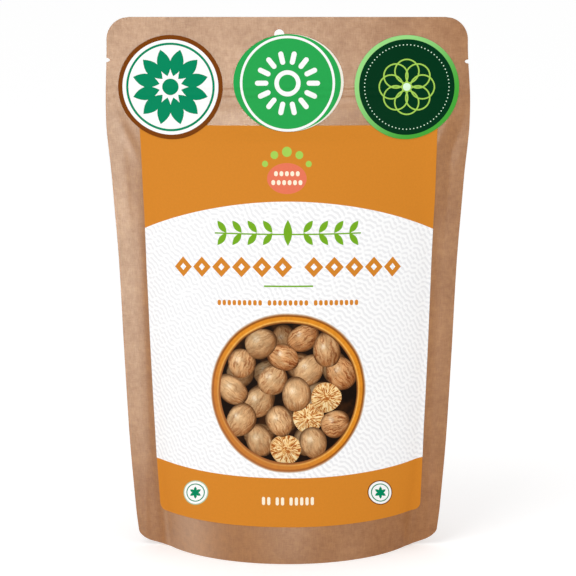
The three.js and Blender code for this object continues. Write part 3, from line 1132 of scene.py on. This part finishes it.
# Lays nutmegs in the bowl's mouth: a dim layer below, then a bright one eased apart.
def nutmegs():
    draw = np.random.default_rng(picture["seed"])
    made = []

    def oneNut(x, y, ink, shade, scale=1.0):
        halfLength = draw.uniform(*picture["nutHalfLength"]) * scale
        halfWidth = draw.uniform(*picture["nutHalfWidth"]) * scale
        if ink == "nutCut":
            halfWidth = picture["cutHalfWidth"]
            halfLength = picture["cutHalfLength"]
        turn = draw.uniform(0, math.pi)
        centre = (bowl["centre"][0] + x, bowl["centre"][1] + y)
        outline = oval((0, 0), 1.0, points=40)
        angle = np.arctan2(outline[:, 1], outline[:, 0])
        wobble = 1 + 0.035 * np.cos(angle * 3 + draw.uniform(0, 6)) + 0.05 * np.cos(angle)
        flat = outline * wobble[:, None] * np.array([halfLength, halfWidth])
        placed = laid(flat[:, 0], flat[:, 1], centre, turn)
        reach = (halfLength * 1.06, halfWidth * 1.04)
        return shape(placed, ink, centre=centre, reach=reach, turn=turn, seed=(shade, draw.uniform(0, 1)))

    count = picture["dimCount"]
    for k in range(count):
        angle = 2 * math.pi * (k + draw.uniform(-0.2, 0.2)) / count
        x, y = around((0, 0), picture["dimFar"][k % 2], angle)
        made.append(oneNut(x, y, "nutShell", draw.uniform(*picture["dimShade"]), picture["dimScale"]))
    spots = [(x, y, "nutCut") for x, y in picture["cuts"]]
    for count, far in picture["rings"]:
        start = draw.uniform(0, 2 * math.pi)
        for k in range(count):
            angle = start + 2 * math.pi * (k + draw.uniform(-0.16, 0.16)) / count
            spots.append((*around((0, 0), far, angle), "nutShell"))
    places = np.array([spot[:2] for spot in spots])
    for _ in range(picture["easing"]):  # ease them apart and keep them inside the mouth
        for i in range(len(places)):
            for j in range(i):
                gap = places[i] - places[j]
                distance = np.hypot(*gap) + 1e-6
                if distance < picture["apart"]:
                    push = gap / distance * (picture["apart"] - distance) * 0.25
                    places[i] += push
                    places[j] -= push
        far = np.hypot(*places.T)
        limit = bowl["mouth"] - picture["inset"]
        places *= np.minimum(1, limit / np.maximum(far, 1e-6))[:, None]
    order = draw.permutation(len(spots))
    for k in order:
        ink = spots[k][2]
        made.append(oneNut(places[k][0], places[k][1], ink, draw.uniform(*picture["shade"])))
    return made


artwork = {
    "mark": ((-0.5, 187.3), 9.6, 7.3),  # middle, half width and half height
    "markBars": [((-0.5, 189.6), 12.4, 5), ((-0.5, 185.4), 15.0, 6)],  # middle, width, how many
    "markBarHeight": 2.4,
    "dots": (1.5, 1.9, 2.4, 1.9, 1.5),
    "dotsMiddle": (-0.5, 187.8),
    "dotsReach": (12.5, 12.0),
    "dotStep": 29,
    "garland": ((0, 160.7), 72, 12.4),
    "lozenges": ((0, 144.3), 116, 9.9, 11, 6, 5.0),
    "rule": ((0.3, 135.1), 24, 0.8),
    "smallRow": ((0, 127.0), 69.6, 2.7, [9, 8, 9], 0.8, 2.8),
    "footRow": ((0, 31.0), 25.4, 4.0, [2, 2, 5], 1.05, 2.6),
    "seals": (48.8, 31.6),
    "sealRadii": (6.2, 5.7, 4.6, 4.1),  # rim, white, ring and its hole
    "sealPetal": (3.1, 1.6),
}


def labelShapes():
    top = label["top"] + 5
    low = label["bottom"] - 5
    upper = fieldEdge(label["fieldTopAtEdge"], label["fieldTop"])
    lower = fieldEdge(label["fieldBottomAtEdge"], label["fieldBottom"])
    edge = label["fieldReach"]
    made = [
        shape(np.concatenate([upper, [(edge, top), (-edge, top)]]), "orange"),
        shape(np.concatenate([lower[::-1], [(-edge, low), (edge, low)]]), "orange"),
    ]
    # a round mark with dots over it, between the stickers and the field
    made.append(shape(oval(*artwork["mark"]), "coral"))
    for middle, width, count in artwork["markBars"]:
        made += barRow(middle, width, artwork["markBarHeight"], [count], 0.8, 0, "cream")
    x, y = artwork["dotsMiddle"]
    wide, tall = artwork["dotsReach"]
    for k, size in enumerate(artwork["dots"]):
        angle = math.radians(90 + (k - 2) * artwork["dotStep"])
        dot = (x + wide * math.cos(angle), y + tall * math.sin(angle))
        made.append(shape(oval(dot, size, points=20), "leafGreen"))
    rows = garland(*artwork["garland"], "lineGreen")
    rows += lozengeRow(*artwork["lozenges"], "orange")
    rows.append(shape(roundBar(*artwork["rule"]), "lineGreen"))
    rows += barRow(*artwork["smallRow"], "orange")
    for row in rows:
        for outline in (row["outline"], row["hole"]):
            if outline is not None:
                outline[:, 1] += label["rowArch"] * (0.5 - (outline[:, 0] / label["rowArchReach"]) ** 2)
    made += rows
    centre = bowl["centre"]
    whole = oval(centre, bowl["radius"], points=128)
    mouth = oval(centre, bowl["mouth"], points=112)
    made.append(shape(mouth, "bowlDark", centre=centre, reach=(bowl["mouth"],) * 2))
    made += nutmegs()
    made.append(shape(whole, "bowlRim", hole=mouth, centre=centre, reach=(bowl["radius"],) * 2))
    made += barRow(*artwork["footRow"], "cream")
    rimRadius, whiteRadius, ringRadius, holeRadius = artwork["sealRadii"]
    for side, rim in ((-1, "sage"), (1, "rimBrown")):
        spot = np.array([artwork["seals"][0] * side, artwork["seals"][1]])

        # stretched on the turned-away film so that the mark looks round from the front
        def facing(outline):
            x, y = outline.T
            wider, leanX, leanY = label["markStretch"]
            return np.stack([x * wider - y * leanX * side, y - x * leanY * side], -1) + spot

        made.append(shape(facing(oval((0, 0), rimRadius, points=48)), rim))
        made.append(shape(facing(oval((0, 0), whiteRadius, points=48)), "white"))
        hole = facing(oval((0, 0), holeRadius, points=40))
        made.append(shape(facing(oval((0, 0), ringRadius, points=40)), "sealGreen", hole=hole))
        for k in range(6):
            turn = k * math.pi / 3 + math.pi / 6
            made.append(shape(facing(blade((0, 0), *artwork["sealPetal"], turn, points=5)), "sealGreen"))
    return made


def buildLabel():
    inks = ["field", "orange", "coral", "cream", "leafGreen", "lineGreen", "white", "rimBrown", "sage",
            "sealGreen", "bowlDark", "bowlRim", "nutShell", "nutCut"]
    columns = ruled(label["columnMarks"], [1.0, 2.4, 1.0])
    rows = ruled([label["bottom"], 190, label["top"]], [2.4, 1.4])
    made = printedSkin("frontLabel", labelOutline(), labelShapes(), inks, "field", (columns, rows),
                       lambda across, height: np.full(len(across), label["lift"]), label["thickness"])
    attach(made, "root")
    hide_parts("label")


buildLabel()
print("label printed")


# ---------- stickers

def stickerShapes(name, centre, width, height):
    def ring(outer, inner, ink, middle=centre):
        return shape(oval(middle, outer, points=96), ink, hole=oval(middle, inner, points=96))

    made = []
    if name == "left":
        made.append(shape(oval(centre, width - 2.1, height - 2.1, points=96), "white"))
        made.append(ring(21.6, 20.5, "sealGreen"))
        for k in range(12):
            turn = math.radians(k * 30 + 15)
            made.append(shape(blade(around(centre, 5.4, turn), 13.4, 6.6, turn), "sealGreen"))
        made.append(shape(oval(centre, 4.0), "sealGreen"))
    if name == "centre":
        green = (centre[0] - 0.65, centre[1])
        made.append(shape(oval(green, width - 0.65, height, points=96), "badgeGreen"))
        ringCentre = (centre[0] - 0.5, centre[1] - 0.4)
        made.append(ring(23.2, 22.0, "white", ringCentre))
        for k in range(14):
            turn = 2 * math.pi * k / 14
            made.append(shape(roundBar(around(ringCentre, 12.6, turn), 6.6, 2.5, turn=turn), "white"))
        made.append(shape(oval(ringCentre, 6.4), "white", hole=oval(ringCentre, 4.2)))
    if name == "right":
        made.append(shape(oval(centre, 23.3, points=96), "deepGreen"))
        for k in range(72):
            turn = 2 * math.pi * k / 72
            made.append(shape(oval(around(centre, 20.6, turn), 0.3, points=8), "mint"))
        for k in range(8):
            turn = 2 * math.pi * k / 8
            spot = around(centre, 7.6, turn)
            made.append(shape(oval(spot, 6.2, points=40), "leafGreen", hole=oval(spot, 5.5, points=40)))
        made.append(shape(oval(centre, 1.9, points=24), "mint"))
    return made


stickers = {
    "left": {"base": "rimBrown", "inks": ["rimBrown", "white", "sealGreen"], "slot": "sticker_brown_rim"},
    "centre": {"base": "paleBase", "inks": ["paleBase", "badgeGreen", "white"], "slot": "sticker_green"},
    "right": {"base": "glowRim", "inks": ["glowRim", "deepGreen", "mint", "leafGreen"],
              "slot": "sticker_dark_green"},
}
stickerSheet = {"lift": 0.1, "thickness": 0.16, "overLabel": 0.2, "ramp": 2.0, "cell": (2.0, 0.7)}


def stickerLift(across, height):
    onLabel = 1 - smooth((height - label["top"]) / stickerSheet["ramp"])
    return stickerSheet["lift"] + stickerSheet["overLabel"] * onLabel


def buildSticker(name, style):
    low, high = boxInMm("sticker_" + name)
    centre = ((low[0] + high[0]) / 2, (low[2] + high[2]) / 2)
    width = (high[0] - low[0]) / 2
    # the CAD's last row of points stops 3 degrees short of the edge
    height = (high[2] - low[2]) / 2 / math.sin(math.radians(87))
    shapes = stickerShapes(name, centre, width, height)
    for item in shapes:
        if item["ink"] == "glowRim":
            item["centre"] = centre
    outline = oval(centre, width + 1, height + 1, points=96)
    whole = shape(outline, style["base"], centre=centre, reach=(width, height))
    columns = ruled([centre[0] - width, centre[0] + width], [stickerSheet["cell"][0]])
    rows = ruled([centre[1] - height, centre[1] + height], [stickerSheet["cell"][1]])
    made = printedSkin("roundSticker_" + name, oval(centre, width, height, points=110), [whole] + shapes,
                       style["inks"], style["base"], (columns, rows), stickerLift, stickerSheet["thickness"])
    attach(made, "root")
    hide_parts("sticker_" + name)


for stickerName, stickerStyle in stickers.items():
    buildSticker(stickerName, stickerStyle)
print("stickers placed")


# ---------- stage, light and camera

stage = {
    "floorSize": 8.0,
    "floorDrop": 0.02,  # in millimetres, to keep the floor just below the pouch
    "floorColour": (230, 230, 230),
    "floorGlow": 0.36,  # the same all over the floor
    "worldLight": 0.79,
    "keyPlace": (-0.5, -0.8, 1.35),
    "keyAim": (0, 0, 0.13),
    "keySize": 0.7,
    "keyPower": 5.0,
    "keySpread": 180.0,
    "lampShare": 0.125,  # how much of its cell each lamp of a bank fills
    "sheenColour": (1.0, 0.96, 0.83),
    # lights that only show as sheen on the paper: place, aim, size, spread, power, lamps along a side
    "sheenMain": ((-0.061, -0.31, 0.148), (-0.103, 0.0, 0.151), 0.27, 57.4, 1.35, 4),
    "sheenLeft": ((-1.0, -0.045, 0.17), (-0.03, 0.0, 0.03), 0.4, 30.0, 2.2, 3),
    "sheenTop": ((-0.15, -0.5, 0.7), (-0.02, 0.0, 0.225), 0.25, 24.0, 0.75, 3),
    "sheenRight": ((1.2, -0.85, 0.25), (0.04, 0.0, 0.04), 0.5, 30.0, 1.0, 3),
}


def buildFloor():
    half = stage["floorSize"] / 2 / mm
    drop = -stage["floorDrop"]
    corners = np.array([(-half, -half, drop), (half, -half, drop), (half, half, drop), (-half, half, drop)])
    floor = meshFrom("studioFloor", corners, [(0, 1, 2, 3)])
    material, _, shader = newFinish("whiteFloor", 0.9, 0.0)
    shader.inputs["Base Color"].default_value = linear(stage["floorColour"])
    shader.inputs["Emission Color"].default_value = (1, 1, 1, 1)
    shader.inputs["Emission Strength"].default_value = stage["floorGlow"]
    floor.data.materials.append(material)


# A soft box aimed at the pouch, of one lamp or of a square bank of small ones.
# A bank that is only for gloss leaves no light on dull surfaces.
def softLight(name, spot, aim, size, spread, power, bank=1, onlyGloss=False):
    turn = (Vector(aim) - Vector(spot)).to_track_quat("-Z", "Y")
    for k in range(bank * bank):
        lamp = bpy.data.lights.new(name, "AREA")
        lamp.shape = "SQUARE"
        lamp.size = size / bank * stage["lampShare"] if onlyGloss else size
        lamp.energy = power / bank**2
        lamp.color = stage["sheenColour"] if onlyGloss else (1, 1, 1)
        lamp.spread = math.radians(spread)
        made = bpy.data.objects.new(name, lamp)
        across = (k % bank + 0.5) / bank - 0.5
        up = (k // bank + 0.5) / bank - 0.5
        made.location = Vector(spot) + turn @ Vector((across * size, up * size, 0))
        made.rotation_mode = "QUATERNION"
        made.rotation_quaternion = turn
        made.visible_camera = False
        made.visible_diffuse = not onlyGloss
        bpy.context.scene.collection.objects.link(made)


def buildWorld():
    world = bpy.data.worlds.new("studio")
    bpy.context.scene.world = world
    world.use_nodes = True
    tree = world.node_tree
    light = tree.nodes["Background"]
    light.inputs[0].default_value = (1, 1, 1, 1)
    light.inputs[1].default_value = stage["worldLight"]
    seen = place(tree, "ShaderNodeBackground", {0: (1, 1, 1, 1), 1: 1.0})
    path = place(tree, "ShaderNodeLightPath")
    both = place(tree, "ShaderNodeMixShader", {0: path.outputs["Is Camera Ray"]})
    tree.links.new(light.outputs[0], both.inputs[1])
    tree.links.new(seen.outputs[0], both.inputs[2])
    tree.links.new(both.outputs[0], tree.nodes["World Output"].inputs[0])


camera = {
    "distance": 1.5,
    "elevation": 10.17,
    "pixelsPerMm": 2.0259,
    "frame": 576,
    "centreSeen": (287.9, 284.6),  # where the pouch's centre falls in the frame
    "sensor": 36.0,
}


def buildCamera():
    data = bpy.data.cameras.new("camera")
    data.sensor_width = camera["sensor"]
    data.lens = camera["sensor"] * camera["distance"] / mm * camera["pixelsPerMm"] / camera["frame"]
    data.shift_x = (camera["frame"] / 2 - camera["centreSeen"][0]) / camera["frame"]
    data.shift_y = (camera["centreSeen"][1] - camera["frame"] / 2) / camera["frame"]
    made = bpy.data.objects.new("camera", data)
    tilt = math.radians(camera["elevation"])
    centre = Vector((0, 0, pouch["height"] * mm / 2))
    back = Vector((0, -math.cos(tilt), math.sin(tilt)))
    made.location = centre + back * camera["distance"]
    made.rotation_mode = "QUATERNION"
    made.rotation_quaternion = (-back).to_track_quat("-Z", "Y")
    bpy.context.scene.collection.objects.link(made)
    bpy.context.scene.camera = made


buildFloor()
buildWorld()
softLight("keyLight", *(stage[key] for key in ("keyPlace", "keyAim", "keySize", "keySpread", "keyPower")))
for lightName in ("sheenMain", "sheenLeft", "sheenTop", "sheenRight"):
    softLight(lightName, *stage[lightName], onlyGloss=True)
buildCamera()
bpy.context.scene.view_settings.view_transform = "Standard"
print("stage lit")
